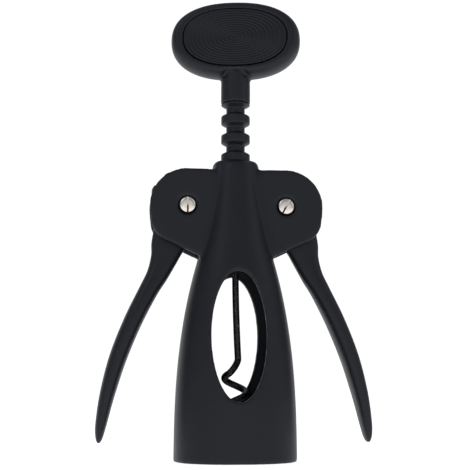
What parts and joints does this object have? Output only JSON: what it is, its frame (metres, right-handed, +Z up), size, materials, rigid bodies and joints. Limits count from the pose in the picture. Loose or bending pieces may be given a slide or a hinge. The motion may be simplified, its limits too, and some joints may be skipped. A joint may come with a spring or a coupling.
{
  "type": "lever corkscrew",
  "caption": "Winged lever corkscrew: a hollow bell rests on the bottle, geared side levers lift a ringed rack that carries an oval handle and a worm.",
  "frame": {"origin": "middle of the underside of the bell's rim, on the rack's axis", "axes": "+Z up along the rack and worm, -Y towards the front of the bell, +X towards the right-hand lever as seen from the front"},
  "size_m": [0.1094, 0.04, 0.1873],
  "materials": {
    "black_paint": "satin near-black paint on a zinc casting",
    "black_plastic": "matte black moulded plastic",
    "black_worm_coating": "thin black low-friction coating on steel wire",
    "nickel": "bright nickel plate",
    "steel": "plain steel",
    "white_nylon": "natural nylon"
  },
  "bodies": {
    "body": {"body_casting": "black_paint", "neck_seat_ring": "black_plastic", "left_pivot_screw": "nickel", "right_pivot_screw": "nickel", "left_pivot_sleeve": "nickel", "right_pivot_sleeve": "nickel", "left_front_washer": "steel", "left_rear_washer": "steel", "right_front_washer": "steel", "right_rear_washer": "steel"},
    "bush": {"guide_bush": "white_nylon"},
    "spindle": {"rack": "black_paint", "handle": "black_paint", "handle_pad_front": "black_plastic", "handle_pad_back": "black_plastic", "handle_grub_screw": "steel", "worm": "black_worm_coating", "worm_grub_screw": "steel"},
    "left_wing": {"left_lever": "black_paint"},
    "right_wing": {"right_lever": "black_paint"}
  },
  "joints": [
    {"name": "handle_turn", "type": "hinge", "parent": "body", "child": "bush", "pos_m": [0, 0, 0.0829], "axis": [0, 0, 1], "continuous": true},
    {"name": "rack_slide", "type": "slide", "parent": "bush", "child": "spindle", "axis": [0, 0, -1], "range_m": [-0.0043, 0.0342]},
    {"name": "left_lever_hinge", "type": "hinge", "parent": "body", "child": "left_wing", "pos_m": [-0.0198, 0, 0.1004], "axis": [0, 1, 0], "range_deg": [-16, 128]},
    {"name": "right_lever_hinge", "type": "hinge", "parent": "body", "child": "right_wing", "pos_m": [0.0198, 0, 0.1004], "axis": [0, -1, 0], "range_deg": [-16, 128]}
  ],
  "couplings": [
    {"joint": "right_lever_hinge", "follows": "left_lever_hinge", "ratio": 1},
    {"joint": "rack_slide", "follows": "left_lever_hinge", "m_per_rad": 0.015279}
  ]
}
